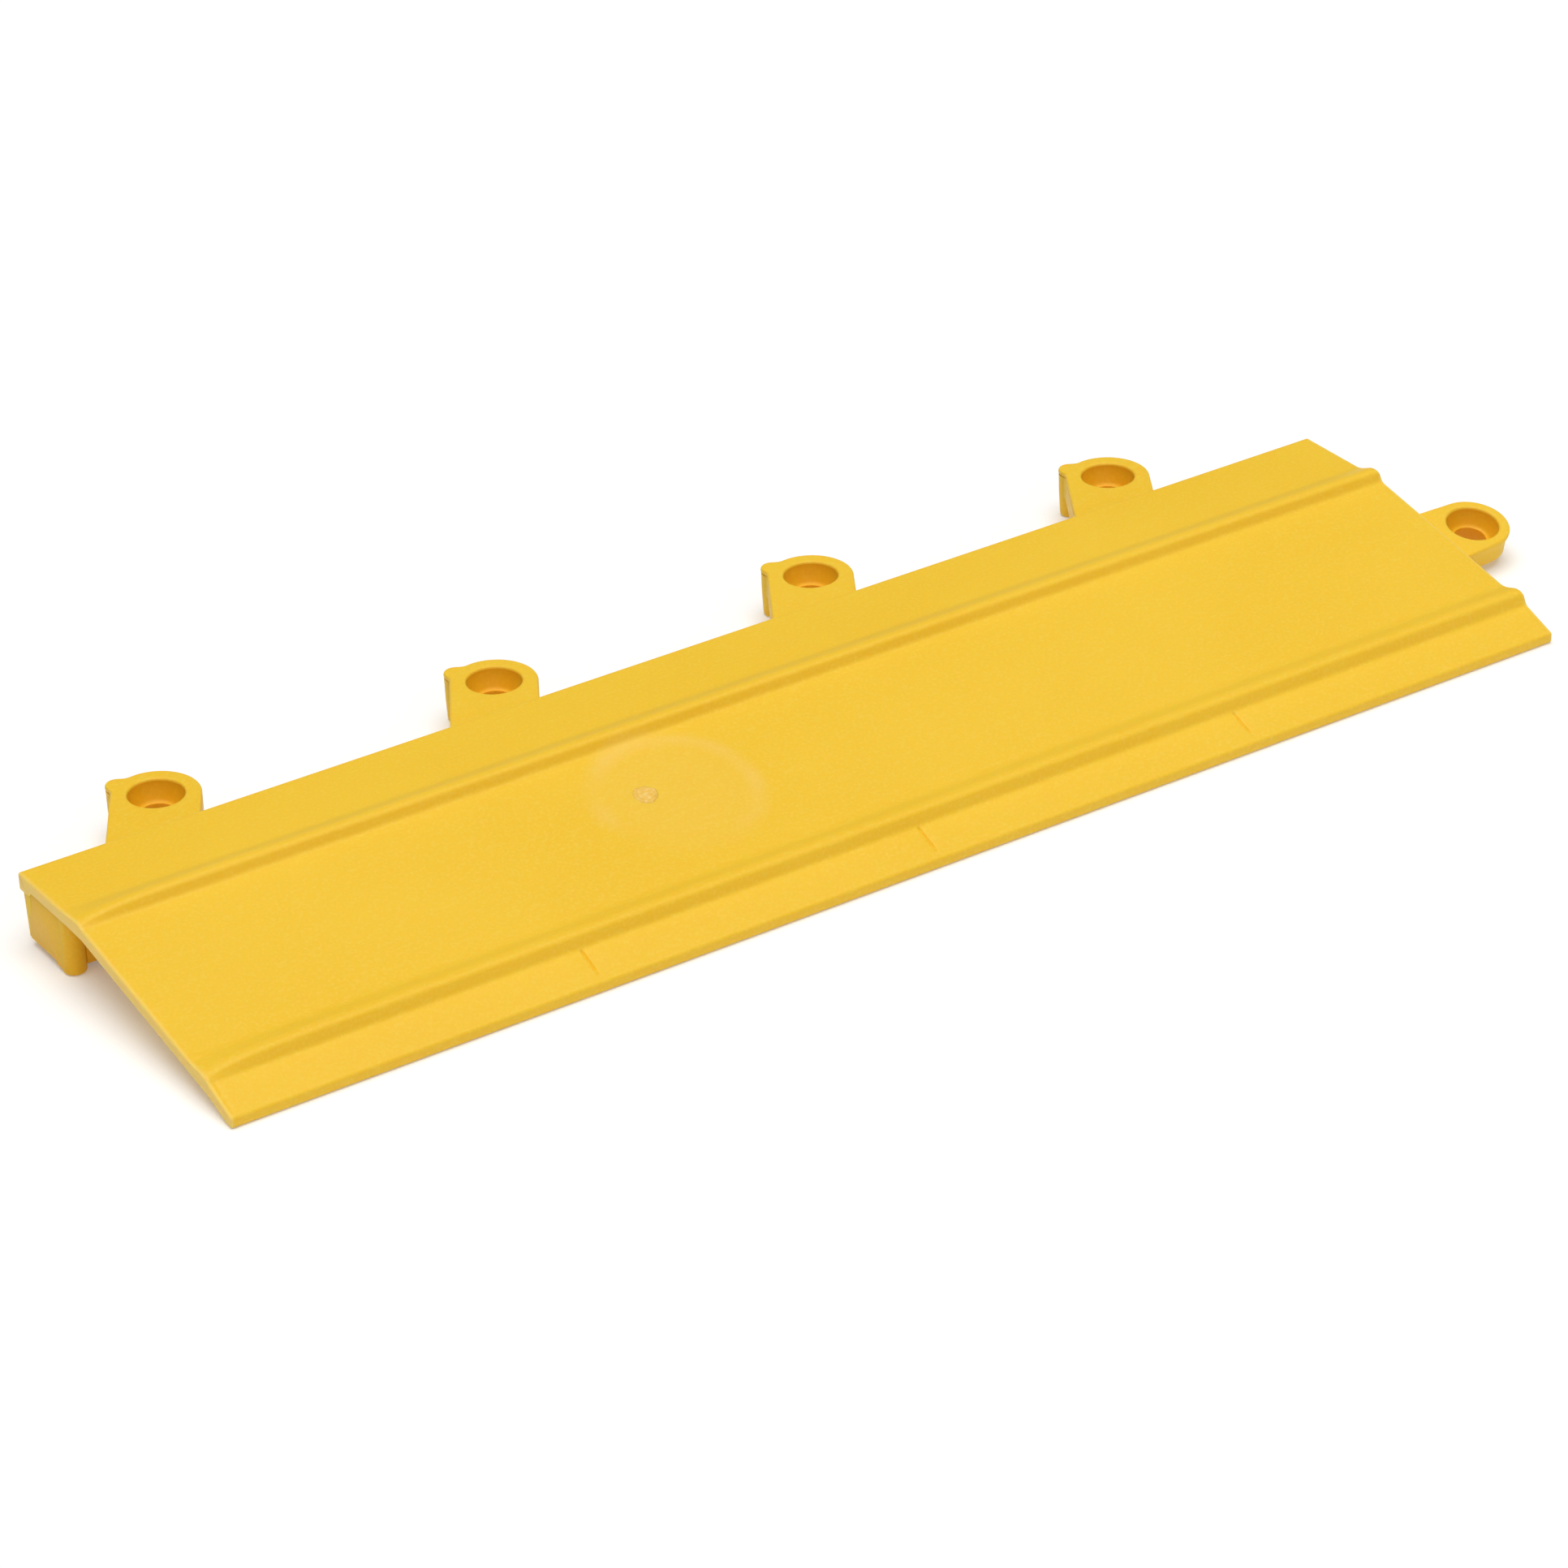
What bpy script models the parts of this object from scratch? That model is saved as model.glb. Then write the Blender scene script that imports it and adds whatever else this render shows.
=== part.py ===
"""Moulded ramp edging for interlocking floor tiles: a sloped deck with a flat shoulder and two raised
tread ridges, slanted tile loops along the tall edge, an end loop, and walls, ribs and feet underneath.
It is one moulding, so each named section of it is a closed solid with a hairline joint to its neighbours.
X runs along the edging, Y from the thin toe to the tall tile side, +Z is up."""

import math

import bmesh
import bpy
from mathutils import Euler, Matrix, Vector

MM = 0.001
GAP = 0.3

# Deck
LENGTH = 460.5
WIDTH = 120.0
HEIGHT = 22.2
DECK = 4.0
LOWER_RIDGE = (12.0, 20.6)
UPPER_RIDGE = (82.6, 91.6)
RAMP_START, RAMP_SLOPE = 9.25, 0.2028
RAIL_Y = 114.2
RAIL_THICK = 5.6
RIDGE_RUN_OUT = 5.0

# Underside
PITCH = 114.3
RIB_START = 3.4
RIB_THICK = 3.0
WALL_BOTTOM = 2.2
END_INSET = 0.6
POST_RADIUS = 3.5
POST_X, POST_Y = 4.1, 97.0
KEEL_Y = (94.4, 97.4)
BACK_WALL_Y = (114.2, 117.4)
RAMP_RIB_START = 21.0
UNDER_SHOULDER = HEIGHT - DECK

# Tile loops
LOOP_X, LOOP_Y = 57.5, 146.0
LOOP_TOP, LOOP_HEIGHT = 16.3, 9.4
LOOP_RADIUS = 13.3
BORE_TOP, BORE_LEDGE, BORE_NECK = 8.4, 6.0, 5.1
BOWL_DEPTH, END_BOWL_DEPTH = 6.4, 5.5
RELIEF = 0.7
ARM_LEAN = math.radians(30.7)
LEG_OFFSET, LEG_ANGLE = 13.3, math.radians(121)
LEG_RADIUS, FLANGE_RADIUS, FLANGE = 3.1, 3.5, 1.5

# End loop, and the peg that takes the next edging's end loop; both lie parallel to the ramp
END_REACH = 16.0
END_Y = 57.1
END_HEIGHT = 7.9
END_RADIUS = 11.9
END_FLARE = (13.2, 12.1)
PEG_PROFILE = ((7.7, 0.0), (5.5, -5.5), (4.6, -5.9), (4.6, -8.0), (4.2, -8.6))

GATE_X, GATE_Y, GATE_RADIUS = 170.2, 59.7, 2.85
SCORE_WIDTH, SCORE_DEPTH = 0.7, 0.6

# The middle of the overall box, which is the origin
CENTRE_X = (LENGTH + END_REACH + END_RADIUS) / 2
CENTRE_Y = (LOOP_Y + LEG_OFFSET * math.sin(LEG_ANGLE) + FLANGE_RADIUS) / 2

YELLOW = (0.89, 0.56, 0.055, 1.0)
GATE_YELLOW = (0.92, 0.62, 0.12, 1.0)


def clear_scene():
    for obj in list(bpy.data.objects):
        bpy.data.objects.remove(obj, do_unlink=True)


def new_collection(name, hidden=False):
    collection = bpy.data.collections.new(name)
    bpy.context.scene.collection.children.link(collection)
    collection.hide_render = hidden
    return collection


def material(name, colour):
    made = bpy.data.materials.new(name)
    made.use_nodes = True
    shader = made.node_tree.nodes["Principled BSDF"]
    shader.inputs["Base Color"].default_value = colour
    shader.inputs["Roughness"].default_value = 0.48
    return made


def place(x, y, z):
    return Vector(((x - CENTRE_X) * MM, (y - CENTRE_Y) * MM, z * MM))


ALONG_X = Euler((math.pi / 2, 0, math.pi / 2))
FLAT = Euler((0, 0, 0))
WITH_RAMP = Euler((math.atan(RAMP_SLOPE), 0, 0))


def add_object(name, mesh, where, turn=FLAT, cutter=False):
    """Links a mesh at (x, y, z) with its own material, or as a hidden wire cutter."""
    obj = bpy.data.objects.new(name, mesh)
    obj.location = place(*where)
    obj.rotation_euler = turn
    (CUTTERS if cutter else PARTS).objects.link(obj)
    if cutter:
        obj.hide_render = True
        obj.display_type = "WIRE"
    else:
        mesh.materials.append(material(name, GATE_YELLOW if name == "gate_mark" else YELLOW))
    return obj


def extruded(name, outline, thickness, where, turn=FLAT, cutter=False):
    """A flat outline as a filled curve, extruded both ways from its middle and welded into a mesh."""
    curve = bpy.data.curves.new(name, "CURVE")
    curve.dimensions = "2D"
    curve.fill_mode = "BOTH"
    curve.extrude = thickness * MM / 2
    spline = curve.splines.new("POLY")
    spline.points.add(len(outline) - 1)
    for point, (u, v) in zip(spline.points, outline):
        point.co = (u * MM, v * MM, 0, 1)
    spline.use_cyclic_u = True
    drawn = bpy.data.objects.new(name + "_outline", curve)
    PARTS.objects.link(drawn)
    depsgraph = bpy.context.evaluated_depsgraph_get()
    mesh = bpy.data.meshes.new_from_object(drawn.evaluated_get(depsgraph))
    bpy.data.objects.remove(drawn, do_unlink=True)
    bpy.data.curves.remove(curve)
    bm = bmesh.new()
    bm.from_mesh(mesh)
    bmesh.ops.remove_doubles(bm, verts=bm.verts, dist=1e-7)
    bmesh.ops.recalc_face_normals(bm, faces=bm.faces)
    bm.to_mesh(mesh)
    bm.free()
    mesh.name = name
    mesh.shade_smooth()
    mesh.set_sharp_from_angle(angle=math.radians(30))
    return add_object(name, mesh, where, turn, cutter)


def along_x(name, profile, x0, x1, cutter=False):
    """A bar along the edging with this (y, z) profile."""
    return extruded(name, profile, x1 - x0, ((x0 + x1) / 2, 0, 0), ALONG_X, cutter)


def box(name, x_range, y_range, z_range, cutter=False):
    """A box primitive between these limits, with its origin in its middle."""
    ranges = (x_range, y_range, z_range)
    bm = bmesh.new()
    size = Matrix.Diagonal([(high - low) * MM for low, high in ranges] + [1])
    bmesh.ops.create_cube(bm, size=1, matrix=size)
    mesh = bpy.data.meshes.new(name)
    bm.to_mesh(mesh)
    bm.free()
    return add_object(name, mesh, [(low + high) / 2 for low, high in ranges], cutter=cutter)


def turned(name, profile, segments, where, turn=FLAT, cutter=False):
    """A body of revolution from (radius, z) pairs down its outer side, closed on its axis."""
    points = [(0, profile[0][1]), *profile, (0, profile[-1][1])]
    mesh = bpy.data.meshes.new(name)
    edges = [(i, i + 1) for i in range(len(points) - 1)]
    mesh.from_pydata([(radius * MM, 0, z * MM) for radius, z in points], edges, [])
    obj = add_object(name, mesh, where, turn, cutter)
    screw = obj.modifiers.new("Screw", "SCREW")
    screw.axis = "Z"
    screw.steps = screw.render_steps = segments
    screw.use_merge_vertices = True
    screw.merge_threshold = 0.00001
    screw.use_smooth_shade = True
    return obj


def lofted(name, rings):
    """A closed body through unlike sections, each a ring of (x, y, z) points."""
    bm = bmesh.new()
    loops = [[bm.verts.new(place(*point)) for point in ring] for ring in rings]
    for low, high in zip(loops, loops[1:]):
        for i in range(len(low)):
            j = (i + 1) % len(low)
            bm.faces.new((low[i], low[j], high[j], high[i]))
    bm.faces.new(loops[0][::-1])
    bm.faces.new(loops[-1])
    bmesh.ops.recalc_face_normals(bm, faces=bm.faces)
    mesh = bpy.data.meshes.new(name)
    bm.to_mesh(mesh)
    bm.free()
    return add_object(name, mesh, (CENTRE_X, CENTRE_Y, 0))


def boolean(obj, other, operation):
    modifier = obj.modifiers.new(operation.title(), "BOOLEAN")
    modifier.operation = operation
    modifier.solver = "EXACT"
    modifier.object = other


def ramp_top(y):
    return RAMP_START + RAMP_SLOPE * (y - LOWER_RIDGE[1] - GAP)


def ramp_under(y):
    return ramp_top(y) - DECK


def rib_places():
    return [RIB_START + PITCH * i for i in (1, 2, 3)]


def toe_plate():
    end = LOWER_RIDGE[0] - GAP
    profile = [(0, 0), (2.6, 0), (end, 3.45), (end, 7.5), (1.0, 3.6), (0.3, 3.1), (0, 2.3)]
    toe = along_x("toe_plate", profile, 0, LENGTH)
    slope = (7.5 - 3.6) / (end - 1.0)
    for number, x in enumerate(rib_places(), 1):
        low, high = 3.4, end + 1
        z_low, z_high = 3.6 + slope * (low - 1.0), 3.6 + slope * (high - 1.0)
        groove = [
            (low, z_low - SCORE_DEPTH), (high, z_high - SCORE_DEPTH),
            (high, z_high + 1), (low, z_low + 1),
        ]
        half = SCORE_WIDTH / 2
        boolean(toe, along_x(f"score_{number}", groove, x - half, x + half, True), "DIFFERENCE")


def ridge(name, profile, foot):
    """A ridge strip: full section, then sinking towards its foot at the left end."""
    low = [(y, z if z <= foot else foot + (z - foot) * 0.42) for y, z in profile]
    right = [(y, z if z <= foot else foot + (z - foot) * 0.75) for y, z in profile]
    lofted(name, [
        [(0, y, z) for y, z in low],
        [(RIDGE_RUN_OUT, y, z) for y, z in profile],
        [(LENGTH - 1.5, y, z) for y, z in profile],
        [(LENGTH, y, z) for y, z in right],
    ])


def lower_ridge():
    y0, y1 = LOWER_RIDGE
    profile = [
        (y0, 3.6), (y1, ramp_under(y1)), (y1, 9.3), (17.6, 11.8), (16.6, 12.1), (15.3, 12.05),
        (14.1, 11.4), (12.7, 9.2), (y0, 7.7),
    ]
    ridge("lower_ridge", profile, 9.3)


def upper_ridge():
    y0, y1 = UPPER_RIDGE
    profile = [
        (y0, ramp_under(y0)), (y1, UNDER_SHOULDER), (y1, 22.5), (89.0, 24.8), (87.8, 25.3),
        (85.8, 25.4), (84.4, 24.9), (83.3, 23.8), (y0, 22.0),
    ]
    ridge("upper_ridge", profile, 22.5)


def ramp_plate():
    y0, y1 = LOWER_RIDGE[1] + GAP, UPPER_RIDGE[0] - GAP
    middle = (y0 + y1) / 2
    profile = [
        (y0, ramp_under(y0)), (y1, ramp_under(y1)), (y1, ramp_top(y1)),
        (middle, ramp_top(middle) + 0.12), (y0, ramp_top(y0)),
    ]
    ramp = along_x("ramp_plate", profile, 0, LENGTH)
    gate = (GATE_X, GATE_Y, ramp_top(GATE_Y))
    well = [(GATE_RADIUS + GAP, 3), (GATE_RADIUS + GAP, -1.6)]
    boolean(ramp, turned("gate_well", well, 24, gate, cutter=True), "DIFFERENCE")
    mark = [(GATE_RADIUS - 0.5, 0.6), (GATE_RADIUS, 0.15), (GATE_RADIUS, -1.3)]
    turned("gate_mark", mark, 24, gate)


def shoulder():
    y0, y1 = UPPER_RIDGE[1] + GAP, RAIL_Y - GAP
    box("shoulder_plate", (0, LENGTH), (y0, y1), (UNDER_SHOULDER, HEIGHT))
    low = HEIGHT - RAIL_THICK
    rail = [(RAIL_Y, low), (WIDTH, low), (WIDTH, HEIGHT - 0.7), (WIDTH - 0.7, HEIGHT), (RAIL_Y, HEIGHT)]
    along_x("back_rail", rail, 0, LENGTH)


def underside():
    inner, outer = BACK_WALL_Y
    low, top = HEIGHT - RAIL_THICK - GAP, UNDER_SHOULDER - GAP
    back = [(inner + 0.3, WALL_BOTTOM), (outer, WALL_BOTTOM), (outer + 0.9, low), (inner, low)]
    along_x("back_wall", back, END_INSET, LENGTH - END_INSET)
    posts = [POST_X, *rib_places(), LENGTH - POST_X]
    for number, (x0, x1) in enumerate(zip(posts, posts[1:]), 1):
        clear = POST_RADIUS + GAP
        box(f"keel_wall_{number}", (x0 + clear, x1 - clear), KEEL_Y, (WALL_BOTTOM, top))
    for number, x in enumerate(posts, 1):
        leg = [(POST_RADIUS, top), (POST_RADIUS, 0.6), (POST_RADIUS - 0.6, 0)]
        turned(f"foot_post_{number}", leg, 24, (x, POST_Y, 0))
    half = RIB_THICK / 2
    rear = (POST_Y + POST_RADIUS + GAP, inner - GAP), (WALL_BOTTOM, top)
    box("left_end_wall", (END_INSET, END_INSET + RIB_THICK), *rear)
    box("right_end_wall", (LENGTH - END_INSET - RIB_THICK, LENGTH - END_INSET), *rear)
    start, end = RAMP_RIB_START, POST_Y - POST_RADIUS - GAP
    slope_end = UPPER_RIDGE[0] - GAP
    front = [
        (start, WALL_BOTTOM), (end, WALL_BOTTOM), (end, top), (slope_end, ramp_under(slope_end) - GAP),
        (start, ramp_under(start) - GAP),
    ]
    along_x("right_ramp_wall", front, LENGTH - END_INSET - RIB_THICK, LENGTH - END_INSET)
    for number, x in enumerate(rib_places(), 1):
        box(f"back_rib_{number}", (x - half, x + half), *rear)
        along_x(f"ramp_rib_{number}", front, x - half, x + half)


def arc(x, y, radius, start, end, steps):
    angles = [start + (end - start) * i / steps for i in range(steps + 1)]
    return [(x + radius * math.cos(a), y + radius * math.sin(a)) for a in angles]


def stepped_bore(name, height, bowl_depth, where, turn=FLAT):
    """Cutter for a tapered bowl that ends on a narrow ledge, with a round neck through it."""
    bowl = [(BORE_TOP, 1), (BORE_TOP, 0), (BORE_LEDGE, -bowl_depth)]
    neck = [(BORE_NECK, -bowl_depth), (BORE_NECK, -height - 1)]
    return turned(name, bowl + neck, 40, where, turn, cutter=True)


def tile_loop(number):
    """Slanted arm, ring with a stepped bore, and a round leg on the far side of the ring."""
    x, y = LOOP_X + PITCH * (number - 1), LOOP_Y
    aim = math.pi / 2 - ARM_LEAN
    base = BACK_WALL_Y[1] + 0.9 + GAP - y
    side = LOOP_RADIUS / math.cos(ARM_LEAN)
    foot = base * math.tan(ARM_LEAN)
    outline = [(foot - side, base), (foot + side, base)]
    outline += arc(0, 0, LOOP_RADIUS, aim - math.pi / 2, aim + math.pi / 2, 24)
    body = extruded(f"tile_loop_{number}", outline, LOOP_HEIGHT, (x, y, LOOP_TOP - LOOP_HEIGHT / 2))
    leg_x = x + LEG_OFFSET * math.cos(LEG_ANGLE)
    leg_y = y + LEG_OFFSET * math.sin(LEG_ANGLE)
    head = [(FLANGE_RADIUS, LOOP_TOP), (FLANGE_RADIUS, LOOP_TOP - FLANGE)]
    leg = [(LEG_RADIUS, LOOP_TOP - FLANGE - 0.3), (LEG_RADIUS, 1.6), (LEG_RADIUS - 0.7, 0)]
    boolean(body, turned(f"leg_{number}", head + leg, 28, (leg_x, leg_y, 0), cutter=True), "UNION")
    bore = stepped_bore(f"bore_{number}", LOOP_HEIGHT, BOWL_DEPTH, (x, y, LOOP_TOP))
    boolean(body, bore, "DIFFERENCE")
    middle = x + foot
    root = (middle - 25, middle + 25), (y + base - 1, WIDTH + GAP), (LOOP_TOP - RELIEF, LOOP_TOP + 1)
    boolean(body, box(f"relief_{number}", *root, cutter=True), "DIFFERENCE")


def end_loop():
    """A ring that stands out from the right end, parallel to the ramp."""
    x, top = LENGTH + END_REACH, ramp_under(END_Y) - GAP
    down = Vector((0, math.sin(WITH_RAMP.x), -math.cos(WITH_RAMP.x)))
    base = GAP - END_INSET - END_REACH
    outline = [(base, -END_FLARE[0])]
    outline += arc(0, 0, END_RADIUS, math.radians(-84), math.radians(90), 28)
    outline += [(base, END_FLARE[1])]
    centre = Vector((x, END_Y, top))
    body = extruded("end_loop", outline, END_HEIGHT, centre + down * END_HEIGHT / 2, WITH_RAMP)
    boolean(body, stepped_bore("end_bore", END_HEIGHT, END_BOWL_DEPTH, centre, WITH_RAMP), "DIFFERENCE")
    front = -END_REACH + GAP
    edge = [(base - 1, -20), (front, -20), (front, 20), (base - 1, 20)]
    relief = extruded("end_relief", edge, 1 + RELIEF, centre - down * (1 - RELIEF) / 2, WITH_RAMP, True)
    boolean(body, relief, "DIFFERENCE")


def end_peg():
    """A stud under the left end, square to the sloping deck above it."""
    turned("end_peg", PEG_PROFILE, 32, (END_REACH, END_Y, ramp_under(END_Y) - GAP), WITH_RAMP)


clear_scene()
PARTS = new_collection("floor_tile_ramp_edging")
CUTTERS = new_collection("cutters", hidden=True)
toe_plate()
lower_ridge()
ramp_plate()
upper_ridge()
shoulder()
underside()
for loop_number in (1, 2, 3, 4):
    tile_loop(loop_number)
end_loop()
end_peg()
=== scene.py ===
"""Looks for the floor tile ramp edging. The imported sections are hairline-jointed solids; the pieces made
here are the seamless moulding that they stand for: one deck skin, walls, ribs and feet that run into it,
and the loops."""

import math

import bmesh
import bpy
from mathutils import Matrix, Vector


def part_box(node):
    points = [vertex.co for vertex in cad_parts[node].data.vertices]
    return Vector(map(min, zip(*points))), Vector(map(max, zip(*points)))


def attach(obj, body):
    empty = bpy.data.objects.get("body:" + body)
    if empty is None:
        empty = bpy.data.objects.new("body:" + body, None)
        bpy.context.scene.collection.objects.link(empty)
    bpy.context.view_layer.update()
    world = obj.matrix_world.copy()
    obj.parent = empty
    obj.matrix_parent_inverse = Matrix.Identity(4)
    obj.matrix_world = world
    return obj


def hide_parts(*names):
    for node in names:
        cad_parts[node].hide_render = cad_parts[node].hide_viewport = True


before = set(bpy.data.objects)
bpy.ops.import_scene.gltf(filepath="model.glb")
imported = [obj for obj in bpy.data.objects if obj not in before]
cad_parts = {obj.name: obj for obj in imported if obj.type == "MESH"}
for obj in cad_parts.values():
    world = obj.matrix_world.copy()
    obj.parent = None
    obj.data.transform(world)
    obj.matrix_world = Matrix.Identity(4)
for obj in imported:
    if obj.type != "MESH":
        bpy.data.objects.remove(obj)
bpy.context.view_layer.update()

MM = 0.001
BODY = "root"
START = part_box("toe_plate")[0]


def at(x, y, z):
    """Millimetres from the left end, the toe and the floor, as a point of the frame."""
    return Vector((START.x + x * MM, START.y + y * MM, z * MM))


def node_mm(name):
    """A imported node's lowest and highest corners, in millimetres from the same three faces."""
    low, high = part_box(name)
    return [Vector(((c.x - START.x) / MM, (c.y - START.y) / MM, c.z / MM)) for c in (low, high)]


LENGTH = node_mm("toe_plate")[1].x
WIDTH = node_mm("back_rail")[1].y
HEIGHT = node_mm("back_rail")[1].z
RAIL_LOW = node_mm("back_rail")[0].z
DECK = 4.0
RAMP_SLOPE = 0.2028
EDGE = 0.75
RIBS = [(node_mm(f"ramp_rib_{i}")[0].x + node_mm(f"ramp_rib_{i}")[1].x) / 2 for i in (1, 2, 3)]


# ---------------------------------------------------------------- mesh helpers


def piece(name, bm, *nodes, smooth=40, slot="moulded_body", look=None, inner=None):
    """Turns a bmesh into a finished piece that stands for the named nodes."""
    bmesh.ops.remove_doubles(bm, verts=bm.verts, dist=1e-7)
    bmesh.ops.recalc_face_normals(bm, faces=bm.faces)
    mesh = bpy.data.meshes.new(name)
    bm.to_mesh(mesh)
    bm.free()
    for face in mesh.polygons:
        face.use_smooth = True
    mesh.set_sharp_from_angle(angle=math.radians(smooth))
    obj = bpy.data.objects.new(name, mesh)
    bpy.context.scene.collection.objects.link(obj)
    mesh.materials.append(look or YELLOW)
    # A second material, where given, is painted shade for the faces of a bore.
    if inner:
        mesh.materials.append(inner)
    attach(obj, BODY)
    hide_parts(*nodes)


def band(bm, low, high):
    """Quads between two closed loops of vertices with the same count."""
    turns = [(i, (i + 1) % len(low)) for i in range(len(low))]
    return [bm.faces.new((low[i], low[j], high[j], high[i])) for i, j in turns]


def skinned(rings):
    """A bmesh over closed rings of points, with a cap on each end."""
    bm = bmesh.new()
    loops = [[bm.verts.new(p) for p in ring] for ring in rings]
    for low, high in zip(loops, loops[1:]):
        band(bm, low, high)
    bm.faces.new(loops[0][::-1])
    bm.faces.new(loops[-1])
    return bm


def softened(rings, radius):
    """A skinned bmesh with all its edges rounded."""
    bm = skinned(rings)
    bmesh.ops.recalc_face_normals(bm, faces=bm.faces)
    bmesh.ops.bevel(bm, geom=bm.edges, offset=radius * MM, segments=2, profile=0.5, affect="EDGES")
    return bm


def turn_angles(count):
    return [2 * math.pi * k / count for k in range(count)]


def level_ring(x, y, radius, z, count):
    return [at(x + radius * math.cos(a), y + radius * math.sin(a), z) for a in turn_angles(count)]


def rounded(corners, steps=7):
    """A closed outline with each (a, b, radius) corner turned into an arc."""
    outline = []
    count = len(corners)
    for i, (a, b, radius) in enumerate(corners):
        here = Vector((a, b))
        back = Vector(corners[i - 1][:2]) - here
        on = Vector(corners[(i + 1) % count][:2]) - here
        half = back.angle(on) / 2
        reach = min(radius / math.tan(half), 0.49 * back.length, 0.49 * on.length)
        radius = reach * math.tan(half)
        start, end = here + back.normalized() * reach, here + on.normalized() * reach
        middle = here + (back.normalized() + on.normalized()).normalized() * (radius / math.sin(half))
        first, last = start - middle, end - middle
        turn = first.angle_signed(last)
        for k in range(steps + 1):
            arm = first.copy()
            arm.rotate(Matrix.Rotation(-turn * k / steps, 2))
            outline.append(tuple(middle + arm))
    return outline


def finer(outline, longest):
    """Splits long runs, so that shallow marks have points to move."""
    made = []
    for i, point in enumerate(outline):
        a, b = Vector(point), Vector(outline[(i + 1) % len(outline)])
        parts = max(1, math.ceil((b - a).length / longest))
        made += [tuple(a.lerp(b, k / parts)) for k in range(parts)]
    return made


def inset(outline, distance):
    """The outline moved inwards. It runs anticlockwise."""
    moved = []
    count = len(outline)
    for i, point in enumerate(outline):
        here = Vector(point)
        back = (here - Vector(outline[i - 1])).normalized()
        on = (Vector(outline[(i + 1) % count]) - here).normalized()
        normal = Vector((-back.y - on.y, back.x + on.x)).normalized()
        stretch = max(0.5, normal.dot(Vector((-back.y, back.x))))
        moved.append(tuple(here + normal * (distance / stretch)))
    return moved


def edge_steps(radius, steps=4):
    """(distance from the end, inset) pairs that round an edge, from the end face inwards."""
    angles = [math.pi / 2 * k / steps for k in range(steps + 1)]
    return [(radius * (1 - math.cos(a)), radius * (1 - math.sin(a))) for a in angles]


def eased(value, low, high):
    """Rises smoothly from 0 at low to 1 at high."""
    t = min(1.0, max(0.0, (value - low) / (high - low)))
    return t * t * (3 - 2 * t)


# ---------------------------------------------------------------- materials

MOTTLE, SPECKLE, GRAIN = 14.0, 950.0, 2600.0
TRIMMED_SHEEN_COLOUR, HALO_COLOUR = (0.95, 0.73, 0.26, 1), (0.95, 0.645, 0.20, 1)
HALO_RADIUS, HALO_WIDTH = 0.0240, 0.0045


class Nodes:
    """A thin wrapper that adds nodes to a material and joins them."""

    def __init__(self, name):
        self.material = bpy.data.materials.new(name)
        self.material.use_nodes = True
        self.tree = self.material.node_tree
        self.shader = self.tree.nodes["Principled BSDF"]
        self.place = self.tree.nodes.new("ShaderNodeTexCoord").outputs["Object"]

    def add(self, kind, settings=(), **inputs):
        node = self.tree.nodes.new("ShaderNode" + kind)
        for key, value in dict(settings).items():
            setattr(node, key, value)
        for key, value in inputs.items():
            self.put(node.inputs[key.replace("_", " ")], value)
        return node

    def put(self, socket, value):
        if isinstance(value, bpy.types.NodeSocket):
            self.tree.links.new(value, socket)
        else:
            socket.default_value = value

    def noise(self, scale, detail, rough=0.55):
        node = self.add("TexNoise", Vector=self.place, Scale=scale, Detail=detail, Roughness=rough)
        return node.outputs["Fac"]

    def math(self, operation, a, b=0.0, clamp=False):
        node = self.add("Math", {"operation": operation, "use_clamp": clamp})
        self.put(node.inputs[0], a)
        self.put(node.inputs[1], b)
        return node.outputs[0]

    def blend(self, a, b, share_of_b):
        """The weighted sum of two values."""
        part_a = self.math("MULTIPLY", a, 1 - share_of_b)
        return self.math("ADD", part_a, self.math("MULTIPLY", b, share_of_b))

    def span(self, value, a, b, c, d):
        node = self.add("MapRange", Value=value, From_Min=a, From_Max=b, To_Min=c, To_Max=d)
        return node.outputs[0]

    def mix(self, factor, a, b):
        node = self.add("Mix", {"data_type": "RGBA"})
        self.put(node.inputs[0], factor)
        self.put(node.inputs[6], a)
        self.put(node.inputs[7], b)
        return node.outputs[2]


def moulded(name, halo=None, worn_and_sheen_ends=False, glow=0.32,
            base=(0.905, 0.568, 0.034), pale=(0.93, 0.63, 0.080), deep=(0.892, 0.548, 0.028)):
    """Satin flexible vinyl: faint flow mottling, fine matt grain, slightly scuffed sheen."""
    n = Nodes(name)
    broad = n.noise(MOTTLE, 4.0)
    fine = n.noise(SPECKLE, 2.0)
    grain = n.noise(GRAIN, 3.0, 0.7)
    colour = n.mix(n.span(broad, 0.35, 0.65, 0.0, 1.0), (*deep, 1), (*base, 1))
    colour = n.mix(n.span(fine, 0.45, 0.75, 0.0, 0.6), colour, (*pale, 1))
    colour = n.mix(n.span(grain, 0.50, 0.68, 0.0, 0.35), colour, (*deep, 1))
    # Paler ends: partly wear, partly a painted sheen on the cut end faces.
    if worn_and_sheen_ends:
        colour = n.mix(trimmed_sheen_mask(n), colour, TRIMMED_SHEEN_COLOUR)
    if halo:
        colour = n.mix(halo_mask(n, halo), colour, HALO_COLOUR)
    n.put(n.shader.inputs["Base Color"], colour)
    n.put(n.shader.inputs["Roughness"], n.span(n.blend(broad, fine, 0.5), 0.3, 0.7, 0.40, 0.56))
    n.shader.inputs["IOR"].default_value = 1.46
    n.shader.inputs["Specular IOR Level"].default_value = 0.27
    n.shader.inputs["Subsurface Weight"].default_value = glow
    n.shader.inputs["Subsurface Radius"].default_value = (1.0, 0.30, 0.05)
    n.shader.inputs["Subsurface Scale"].default_value = 0.0022
    bump = n.add("Bump", Height=n.blend(grain, fine, 0.4), Strength=0.16, Distance=0.00012)
    n.put(n.shader.inputs["Normal"], bump.outputs[0])
    return n.material


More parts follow.
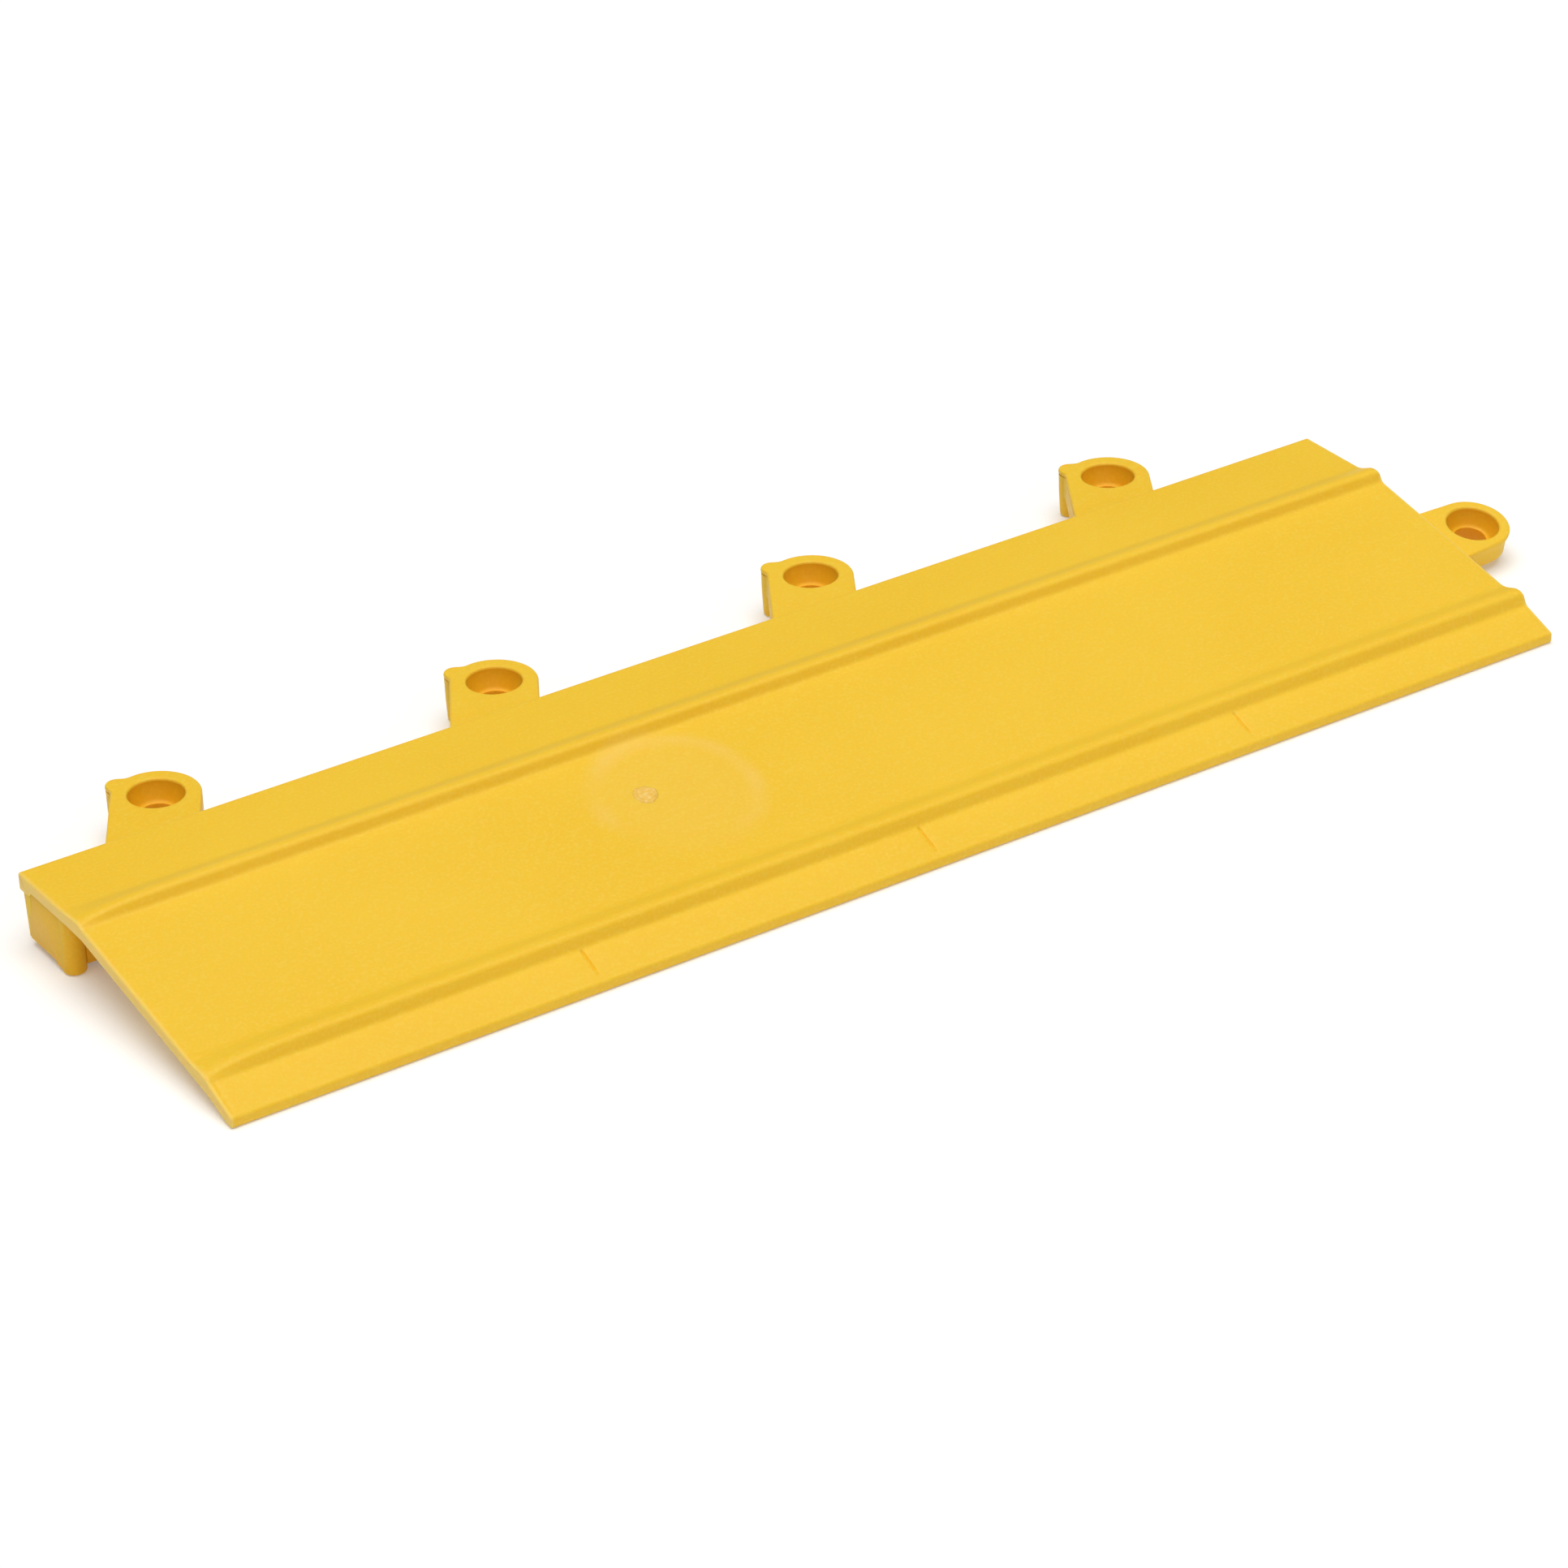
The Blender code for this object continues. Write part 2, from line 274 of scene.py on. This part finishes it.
def trimmed_sheen_mask(n):
    """The paler last millimetre at both ends of the deck: partly trimming wear, partly a painted sheen."""
    along = n.add("SeparateXYZ", Vector=n.place).outputs["X"]
    from_middle = n.math("ABSOLUTE", n.math("SUBTRACT", along, at(LENGTH / 2, 0, 0).x))
    return n.span(n.math("SUBTRACT", LENGTH * MM / 2, from_middle), 0.0002, 0.0013, 0.45, 0.0)


def halo_mask(n, centre):
    """A faint pale ring that the melt leaves round the injection gate."""
    wobble = n.math("MULTIPLY", n.math("SUBTRACT", n.noise(55.0, 2.0, 0.5), 0.5), 0.004)
    patchy = n.span(n.noise(38.0, 1.0), 0.38, 0.62, 0.06, 0.36)
    gap = n.add("VectorMath", {"operation": "DISTANCE"})
    n.put(gap.inputs[0], n.place)
    n.put(gap.inputs[1], centre)
    distance = gap.outputs["Value"]
    away = n.math("ADD", n.math("ABSOLUTE", n.math("SUBTRACT", distance, HALO_RADIUS)), wobble)
    ring = n.math("MULTIPLY", n.span(away, 0.0, HALO_WIDTH, 1.0, 0.0), patchy)
    inside = n.span(distance, HALO_RADIUS, HALO_RADIUS - 0.006, 0.0, 0.10)
    return n.math("ADD", ring, inside, clamp=True)


# ---------------------------------------------------------------- deck

TOE, TOE_RIDGE, RAMP = (0.0, 3.3), (12.1, 7.85), (23.0, 9.77)
TOP_RIDGE, SHOULDER = (82.1, 21.79), (93.5, 22.2)
TOP_LINE = (TOE, TOE_RIDGE, RAMP, TOP_RIDGE, SHOULDER, (WIDTH, HEIGHT))
UNDER_RAMP_END, UNDER_SHOULDER, RAIL_STEP = 82.3, 91.6, 114.6
SCORE_FRONT, SCORE_BACK, SCORE_DEPTH, SCORE_WIDTH = 3.2, 12.2, 0.75, 0.36
LIP_DEPTH, LIP_WIDTH = 0.30, 0.75


def plain_top(y):
    """Height of the deck at y, as if it had no ridges."""
    for (y0, z0), (y1, z1) in zip(TOP_LINE, TOP_LINE[1:]):
        if y <= y1:
            return z0 + (z1 - z0) * (y - y0) / (y1 - y0)
    return HEIGHT


def deck_under(y):
    """Height of the ramp's underside at y."""
    return RAMP[1] + RAMP_SLOPE * (y - RAMP[0]) - DECK


def deck_outline():
    """The deck's cross-section as (y, z), anticlockwise seen from the right end."""
    underside = [
        (0.0, 0.0, 0.8), (2.9, 0.0, 2.0), (11.7, 3.45, 6.0), (20.9, 5.35, 6.0),
        (UNDER_RAMP_END, deck_under(UNDER_RAMP_END), 6.0), (UNDER_SHOULDER, HEIGHT - DECK, 3.0),
        (RAIL_STEP - 1.2, HEIGHT - DECK, 1.0), (RAIL_STEP, RAIL_LOW, 0.8),
    ]
    tile_side = [(WIDTH, RAIL_LOW, 0.8), (WIDTH, HEIGHT, 0.6)]
    upper_ridge = [(*SHOULDER, 7.0), (86.5, 25.3, 4.0), (83.9, 25.3, 2.3), (*TOP_RIDGE, 2.2)]
    hump = [(51.7, plain_top(51.7) + 0.12, 60.0)]
    lower_ridge = [(*RAMP, 7.0), (16.5, 12.15, 4.0), (13.9, 11.95, 2.3), (*TOE_RIDGE, 2.2)]
    return finer(rounded(underside + tile_side + upper_ridge + hump + lower_ridge + [(*TOE, 1.0)]), 1.4)


def ridge_share(x):
    """How much of a ridge's height is left: it sinks at the left end and rounds off at the right."""
    return (1 - 0.78 * math.exp(-x / 8.0)) * (0.80 + 0.20 * eased(LENGTH - x, 0.0, 1.4))


def score_depth(x, y):
    """The grooves across the toe facet, one over each rib."""
    if not SCORE_FRONT < y < SCORE_BACK:
        return 0.0
    fade = eased(y, SCORE_FRONT, SCORE_FRONT + 1.0) * eased(SCORE_BACK - y, 0.0, 0.8)
    return SCORE_DEPTH * fade * max(math.exp(-(((x - rib) / SCORE_WIDTH) ** 2)) for rib in RIBS)


def lip_dip(x, y):
    """The crease just inside the left end of the toe facet."""
    if not 1.0 < y < 12.5:
        return 0.0
    crease = 1.5 + 0.05 * y
    return LIP_DEPTH * eased(y, 0.8, 3.0) * math.exp(-(((x - crease) / LIP_WIDTH) ** 2))


def deck_point(x, y, z):
    """A point of the deck, with the ridges' ends, the grooves and the crease worked in."""
    top = plain_top(y)
    if z > top and (11.0 < y < RAMP[0] or 80.5 < y < SHOULDER[0]):
        z = top + (z - top) * ridge_share(x)
    if z > top - 0.4 and y < 12.6:
        z -= score_depth(x, y) + lip_dip(x, y)
    return at(x, y, z)


def deck_stations():
    """(x, inset) pairs along the deck, close together at the ends and across each groove."""
    rim = edge_steps(EDGE)
    left = rim + [(EDGE + 0.3 * k + 0.03 * k * k, 0.0) for k in range(1, 26)]
    marks = [rib + step for rib in RIBS for step in (-1.0, -0.6, -0.35, -0.18, 0.0, 0.18, 0.35, 0.6, 1.0)]
    even = [left[-1][0] + k * 7.0 for k in range(1, 65)]
    middle = sorted([x for x in even if x < LENGTH - 6 and all(abs(x - m) > 2 for m in marks)] + marks)
    approach = [(LENGTH - EDGE - 0.5 * k, 0.0) for k in range(6, 0, -1)]
    return left + [(x, 0.0) for x in middle] + approach + [(LENGTH - x, pulled) for x, pulled in rim][::-1]


def deck_skin():
    outline = deck_outline()
    rings = []
    for x, pulled in deck_stations():
        shape = inset(outline, pulled) if pulled else outline
        rings.append([deck_point(x, y, z) for y, z in shape])
    halo = at(*gate_centre()) + Vector((8.3 * MM, -2.7 * MM, 0))
    nodes = ("toe_plate", "lower_ridge", "ramp_plate", "upper_ridge", "shoulder_plate", "back_rail")
    piece("deck_skin", skinned(rings), *nodes, look=moulded("deck_vinyl", worn_and_sheen_ends=True, halo=halo))


def gate_centre():
    low, high = node_mm("gate_mark")
    x, y = (low.x + high.x) / 2, (low.y + high.y) / 2
    return x, y, plain_top(y) + 0.1


def gate_mark():
    """A trimmed gate: a low rim round a slightly torn middle."""
    x, y, z = gate_centre()
    profile = [(3.9, -0.5), (3.7, 0.02), (3.3, 0.18), (2.95, 0.34), (2.6, 0.22), (2.3, 0.02),
               (1.8, 0.04), (1.2, 0.16), (0.5, 0.20)]
    tilt = math.atan(RAMP_SLOPE)
    rings = []
    for radius, rise in profile:
        ring = []
        for a in turn_angles(48):
            torn = 1 + 0.05 * math.sin(3 * a + 1.0) + 0.03 * math.sin(7 * a)
            up = rise * (1 + 0.35 * math.sin(a + 2.2) + 0.2 * math.sin(5 * a)) if rise > 0 else rise
            r = radius * torn
            u, v = r * math.cos(a), r * math.sin(a)
            ring.append(at(x + u, y + v * math.cos(tilt) - up * math.sin(tilt), z + v * math.sin(tilt) + up))
        rings.append(ring)
    look = moulded("gate_vinyl", glow=0.0,
                   base=(0.90, 0.59, 0.12), pale=(0.97, 0.76, 0.32), deep=(0.86, 0.50, 0.07))
    piece("gate_scar", skinned(rings), "gate_mark", smooth=60, slot="gate_mark", look=look)


# ---------------------------------------------------------------- underside

WALL_EDGE, WEB_EDGE = 0.35, 0.3
SUNK = 0.8


def long_wall(name, node, y_low, y_high, x_low, x_high, top, look=None):
    """A wall along the edging; each pair is the extent at the bottom, then at the top."""
    z = node_mm(node)[0].z
    (y0, y1), (v0, v1) = y_low, y_high
    (x0, x1), (u0, u1) = x_low, x_high
    base = [(x0, y0, z), (x1, y0, z), (x1, y1, z), (x0, y1, z)]
    head = [(u0, v0, top), (u1, v0, top), (u1, v1, top), (u0, v1, top)]
    piece(name, softened([[at(*p) for p in base], [at(*p) for p in head]], WALL_EDGE), node, look=look)


def underside():
    """The walls, feet and webs. Each reaches a little way into the deck, so that no seam shows."""
    low, high = node_mm("back_wall")
    long_wall("tile_side_wall", "back_wall", (low.y + 0.3, high.y - 0.6), (low.y, high.y),
              (low.x + 0.2, high.x - 0.2), (low.x - 0.2, high.x + 0.2), RAIL_LOW + SUNK)
    under = HEIGHT - DECK + SUNK
    # The keels take the deepest copy of the vinyl: painted shade under the deck.
    for number in (1, 2, 3, 4):
        low, high = node_mm(f"keel_wall_{number}")
        x = (low.x - 1.0, high.x + 1.0)
        long_wall(f"keel_{number}", f"keel_wall_{number}", (low.y + 0.15, high.y - 0.15), (low.y, high.y),
                  x, x, under, RECESS_SHADE_YELLOW)
    for number in (1, 2, 3, 4, 5):
        post(number, under)
    for name in ("left_end", "right_end"):
        rear_web(name, f"{name}_wall", under)
    for number in (1, 2, 3):
        rear_web(f"rear_web_{number}", f"back_rib_{number}", under)
    ramp_web("right_ramp_end", "right_ramp_wall")
    for number in (1, 2, 3):
        ramp_web(f"ramp_web_{number}", f"ramp_rib_{number}")


def post(number, top):
    """A round foot with a domed end, in the darker copy of the vinyl: painted shade under the deck."""
    low, high = node_mm(f"foot_post_{number}")
    x, y, radius = (low.x + high.x) / 2, (low.y + high.y) / 2, (high.x - low.x) / 2
    profile = ((0.75, 0.0), (0.5, 0.07), (0.2, 0.3), (0.05, 0.7), (0.0, 1.2), (0.0, top))
    rings = [level_ring(x, y, radius - pulled, z, 40) for pulled, z in profile]
    piece(f"foot_{number}", skinned(rings), f"foot_post_{number}", look=UNDERSIDE_SHADE_YELLOW)


def sided(name, node, outline, x_low, x_high, thin_low, thin_high):
    """A cross wall from its (y, z) outline, with draft that thins it towards its foot; it is drawn in the
    darker copy of the vinyl, as painted shade under the deck.
    """
    foot = min(z for _, z in outline)
    head = max(z for _, z in outline)
    rings = []
    for x, lean in ((x_low, thin_low), (x_high, -thin_high)):
        rings.append([at(x + lean * (head - z) / (head - foot), y, z) for y, z in outline])
    piece(name, softened(rings, WEB_EDGE), node, look=UNDERSIDE_SHADE_YELLOW)


def rear_web(name, node, top):
    """Between a foot and the tile-side wall; its foot flares where it meets the post."""
    low, high = node_mm(node)
    y0, y1, z = low.y - 1.5, high.y + 1.2, low.z
    outer = {"left_end": (0.0, 0.8), "right_end": (0.8, 0.0)}.get(name)
    if outer:
        y0, y1 = low.y - 3.8, high.y + 2.6
    outline = [(y0, z - 1.1), (low.y + 0.1, z - 1.1), (low.y + 0.5, z - 0.55), (low.y + 1.2, z - 0.12),
               (low.y + 2.2, z), (y1, z), (y1, RAIL_LOW + 0.6), (y1 - 3.2, top), (y0, top)]
    thin = outer or (0.7, 0.7)
    sided(name, node, outline, low.x - 0.3 * (thin[0] > 0), high.x + 0.3 * (thin[1] > 0), *thin)


def ramp_web(name, node):
    """A triangular web under the ramp."""
    low, high = node_mm(node)
    y0, y1, z = low.y - 1.5, high.y + 1.5, low.z
    top = HEIGHT - DECK + 0.7
    outline = [(y0 + 0.9, z), (y1, z), (y1, top), (UNDER_SHOULDER, top),
               (UNDER_RAMP_END, deck_under(UNDER_RAMP_END) + SUNK), (y0, deck_under(y0) + SUNK),
               (y0, z + 1.2)]
    sided(name, node, outline, low.x - 0.3, high.x + 0.3 * (name != "right_ramp_end"), 0.5, 0.5)


# ---------------------------------------------------------------- loops

LOOP_X, LOOP_Y, PITCH = 57.5, 146.0, 114.3
LOOP_RING, LOOP_LEAN, LOOP_HEIGHT, LOOP_BOWL = 13.3, math.radians(30.7), 9.4, 6.4
LEG_OFFSET, LEG_ANGLE = 13.3, math.radians(121)
NUB, NUB_BELOW, NUB_FILLET = 3.4, 3.0, 2.2
BORE_LIP, BORE_RINGS = 0.8, 10
END_REACH, END_Y, END_HEIGHT, END_BOWL, END_COLLAR = 16.0, 57.1, 7.9, 5.5, 2.8
END_RING, END_ROOT = 11.8, 18.5


def ray_reach(distance, angle, low=6.0, high=80.0):
    """How far along a ray from the ring's centre the signed distance becomes zero."""
    c, s = math.cos(angle), math.sin(angle)
    for _ in range(40):
        middle = (low + high) / 2
        if distance(middle * c, middle * s) < 0:
            low = middle
        else:
            high = middle
    return low


def blend_min(a, b, size):
    """The lesser of two distances, with a fillet where they are nearly equal."""
    h = max(0.0, min(1.0, 0.5 + 0.5 * (b - a) / size))
    return b * (1 - h) + a * h - size * h * (1 - h)


def loop_outline(base, nub_x, nub_y, nub_radius, count=200):
    """Ring, parallel-sided arm and nub as one outline about the ring's centre."""
    ax, ay = math.sin(LOOP_LEAN), math.cos(LOOP_LEAN)

    def distance(x, y):
        along, across = x * ax + y * ay, x * ay - y * ax
        arm = abs(across) - LOOP_RING if along < 0 else math.hypot(x, y) - LOOP_RING
        shape = blend_min(arm, math.hypot(x - nub_x, y - nub_y) - nub_radius, NUB_FILLET)
        return max(shape, base - y)

    corners = []
    for across in (-LOOP_RING, LOOP_RING):
        along = (base + across * ax) / ay
        corners.append(math.atan2(base, along * ax + across * ay))
    step = 2 * math.pi / count
    even = [step * k - math.pi for k in range(count)]
    angles = sorted([a for a in even if all(abs(a - c) > 0.6 * step for c in corners)] + corners)
    reach = [ray_reach(distance, a) for a in angles]
    return [(r * math.cos(a), r * math.sin(a)) for r, a in zip(reach, angles)]


def loop_rings(outline, low, top, bore, foot, flange=0.0, flare=0.0, collar=0.0, soft=0.7):
    """Rings of (x, y, z): underside hole, outside, top edge, bowl, ledge and back to the start."""
    bowl_top, bowl_low, neck, ledge = bore
    around = [math.atan2(y, x) for x, y in outline]

    def circle(radius, z):
        return [(radius * math.cos(a), radius * math.sin(a), z) for a in around]

    def wall(shape, pulled, z):
        return [(x, y, z) for x, y in inset(shape, pulled)]

    end = low - collar
    rings = [circle(neck + 0.3, end)]
    if collar:
        rings += [circle(neck + 1.3, end), circle(neck + 1.6, end + 0.4), circle(neck + 1.8, low)]
    rings += [wall(foot, 0.35, low), wall(foot, 0.1, low + 0.12), wall(foot, 0.0, low + 0.4)]
    if flange:
        rings += [wall(foot, 0.0, top - flange - 0.35), wall(outline, 0.5, top - flange - 0.12),
                  wall(outline, 0.08, top - flange + 0.1), wall(outline, 0.0, top - flange + 0.35)]
    if flare:
        rings += [wall(foot, 0.0, top - flare), wall(foot, -0.1, top - flare + 0.7)]
        rings += [wall(outline, 0.1, top - 1.5)]
    rings += [wall(outline, away, top - pulled) for away, pulled in edge_steps(soft)]
    rings += [wall(outline, soft + 0.3, top), circle(bowl_top + BORE_LIP + 0.3, top)]
    rings += [circle(bowl_top + pulled, top - away) for away, pulled in edge_steps(BORE_LIP, 5)]
    rings += [circle(bowl_top - 0.12, top - 1.6), circle(bowl_low + 0.5, ledge + 0.75)]
    rings += [circle(bowl_low + 0.12, ledge + 0.22), circle(bowl_low - 0.3, ledge + 0.03)]
    rings += [circle(neck + 0.25, ledge), circle(neck + 0.05, ledge - 0.12), circle(neck, ledge - 0.4)]
    rings += [circle(neck, end + 0.35), circle(neck + 0.08, end + 0.1)]
    return rings


def ring_body(rings):
    """Quads round a hollow body; the last rings line the bore and take the second material, a darker copy
    that paints the shade inside the bore.
    """
    bm = bmesh.new()
    loops = [[bm.verts.new(p) for p in ring] for ring in rings]
    for number, (low, high) in enumerate(zip(loops, loops[1:] + loops[:1])):
        for face in band(bm, low, high):
            face.material_index = int(number >= len(loops) - BORE_RINGS)
    return bm


def tile_loop(number):
    """A slanted arm with its ring and bore, and the round leg beside the ring."""
    node = f"tile_loop_{number}"
    x, y, top = LOOP_X + PITCH * (number - 1), LOOP_Y, node_mm(node)[1].z
    bottom = top - LOOP_HEIGHT
    nub_x, nub_y = LEG_OFFSET * math.cos(LEG_ANGLE), LEG_OFFSET * math.sin(LEG_ANGLE)
    base = node_mm("back_wall")[1].y - 2.5 - y
    upper = loop_outline(base, nub_x, nub_y, NUB)
    lower = loop_outline(base, nub_x, nub_y, NUB_BELOW)
    rings = loop_rings(upper, bottom, top, (8.4, 6.0, 5.1, top - LOOP_BOWL), lower, flange=1.5)
    body = ring_body([[at(x + px, y + py, z) for px, py, z in ring] for ring in rings])
    piece(f"loop_{number}", body, node, inner=RECESS_SHADE_YELLOW)
    profile = ((2.35, 0.0), (2.6, 0.1), (2.8, 0.5), (2.9, 1.5), (3.2, bottom + 1.0), (3.3, top - 2.0))
    leg = skinned([level_ring(x + nub_x, y + nub_y, r, z, 36) for r, z in profile])
    piece(f"loop_leg_{number}", leg, node)


def tilted(x, points):
    """Points about the end loop's or the end peg's centre, turned to lie parallel to the ramp."""
    centre = at(x, END_Y, deck_under(END_Y) - 0.2)
    lean = Matrix.Rotation(math.atan(RAMP_SLOPE), 3, "X")
    return [centre + lean @ Vector((px * MM, py * MM, pz * MM)) for px, py, pz in points]


def end_outline():
    """The ring and its widening root, which starts inside the end of the deck."""
    angles = [math.radians(a) for a in range(-84, 91, 4)]
    arc = [(END_RING * math.cos(a), END_RING * math.sin(a)) for a in angles]
    return finer([(-END_ROOT, -13.4), *arc, (-END_ROOT, 12.3)], 1.6)


def end_loop():
    outline = end_outline()
    rings = loop_rings(outline, -END_HEIGHT, 0.0, (8.3, 5.9, 5.1, -END_BOWL), inset(outline, 0.75),
                       flare=3.8, collar=END_COLLAR, soft=0.8)
    body = ring_body([tilted(LENGTH + END_REACH, ring) for ring in rings])
    piece("joining_loop", body, "end_loop", inner=RECESS_SHADE_YELLOW)


def end_peg():
    profile = ((3.4, -8.6), (4.0, -8.5), (4.4, -8.1), (4.55, -7.4), (4.6, -5.95), (5.1, -5.7), (5.45, -5.4),
               (7.4, -0.5), (8.4, 0.6))
    rings = []
    for r, z in profile:
        rings.append(tilted(END_REACH, [(r * math.cos(a), r * math.sin(a), z) for a in turn_angles(48)]))
    piece("joining_peg", skinned(rings), "end_peg")


# ---------------------------------------------------------------- stage, light and camera

CAMERA_PLACE = (-555.220, -1119.698, 810.395)
CAMERA_TURN, CAMERA_PITCH, CAMERA_ROLL = 0.58013, 0.51907, -0.02632
CAMERA_LENS = 127.629


def floor():
    bm = bmesh.new()
    bmesh.ops.create_grid(bm, x_segments=1, y_segments=1, size=6.0)
    mesh = bpy.data.meshes.new("floor")
    bm.to_mesh(mesh)
    bm.free()
    obj = bpy.data.objects.new("floor", mesh)
    bpy.context.scene.collection.objects.link(obj)
    made = bpy.data.materials.new("floor_white")
    made.use_nodes = True
    shader = made.node_tree.nodes["Principled BSDF"]
    shader.inputs["Base Color"].default_value = (0.86, 0.86, 0.86, 1)
    shader.inputs["Roughness"].default_value = 0.9
    shader.inputs["Specular IOR Level"].default_value = 0.1
    shader.inputs["Emission Color"].default_value = (1, 1, 1, 1)
    shader.inputs["Emission Strength"].default_value = 0.16
    mesh.materials.append(made)
    obj.location.z = -0.0002


def sun(name, place, power, spread):
    """A very wide source: soft shadows and the same strength all along the part."""
    data = bpy.data.lights.new(name, "SUN")
    data.energy, data.angle = power, math.radians(spread)
    obj = bpy.data.objects.new(name, data)
    bpy.context.scene.collection.objects.link(obj)
    obj.location = place
    obj.rotation_euler = (-Vector(place)).to_track_quat("-Z", "Y").to_euler()


def lights():
    world = bpy.data.worlds.new("studio")
    bpy.context.scene.world = world
    world.use_nodes = True
    background = world.node_tree.nodes["Background"]
    background.inputs["Color"].default_value = (1, 1, 1, 1)
    background.inputs["Strength"].default_value = 0.17
    sun("overhead", (-0.05, -0.06, 2.0), power=2.46, spread=60)
    sun("front", (-0.35, -2.0, 1.0), power=0.40, spread=60)


def camera():
    """Looks down about 30 degrees, from a third of the way round towards the left end."""
    turn, pitch, roll = CAMERA_TURN, CAMERA_PITCH, CAMERA_ROLL
    ahead = Vector((math.sin(turn) * math.cos(pitch), math.cos(turn) * math.cos(pitch), -math.sin(pitch)))
    level = Vector((math.cos(turn), -math.sin(turn), 0))
    above = level.cross(ahead)
    right = level * math.cos(roll) + above * math.sin(roll)
    up = above * math.cos(roll) - level * math.sin(roll)
    data = bpy.data.cameras.new("camera")
    data.sensor_width, data.lens = 36.0, CAMERA_LENS
    data.clip_start, data.clip_end = 0.05, 20.0
    obj = bpy.data.objects.new("camera", data)
    bpy.context.scene.collection.objects.link(obj)
    turned = Matrix((right, up, -ahead)).transposed().to_4x4()
    obj.matrix_world = Matrix.Translation(at(*CAMERA_PLACE)) @ turned
    bpy.context.scene.camera = obj


bpy.context.scene.view_settings.view_transform = "Standard"
YELLOW = moulded("satin_vinyl")
# A darker, more orange copy of the same vinyl: painted shade for the webs, end walls and feet under the
# deck.
UNDERSIDE_SHADE_YELLOW = moulded("underside_shade_vinyl",
                     base=(0.875, 0.505, 0.020), pale=(0.90, 0.56, 0.04), deep=(0.85, 0.48, 0.014))
# A still darker, deeper orange copy: painted shade for the keels under the deck and the insides of the
# bores.
RECESS_SHADE_YELLOW = moulded("recess_shade_vinyl",
                      base=(0.84, 0.43, 0.010), pale=(0.87, 0.48, 0.02), deep=(0.81, 0.40, 0.007))
deck_skin()
gate_mark()
underside()
for loop_number in (1, 2, 3, 4):
    tile_loop(loop_number)
end_loop()
end_peg()
floor()
lights()
camera()
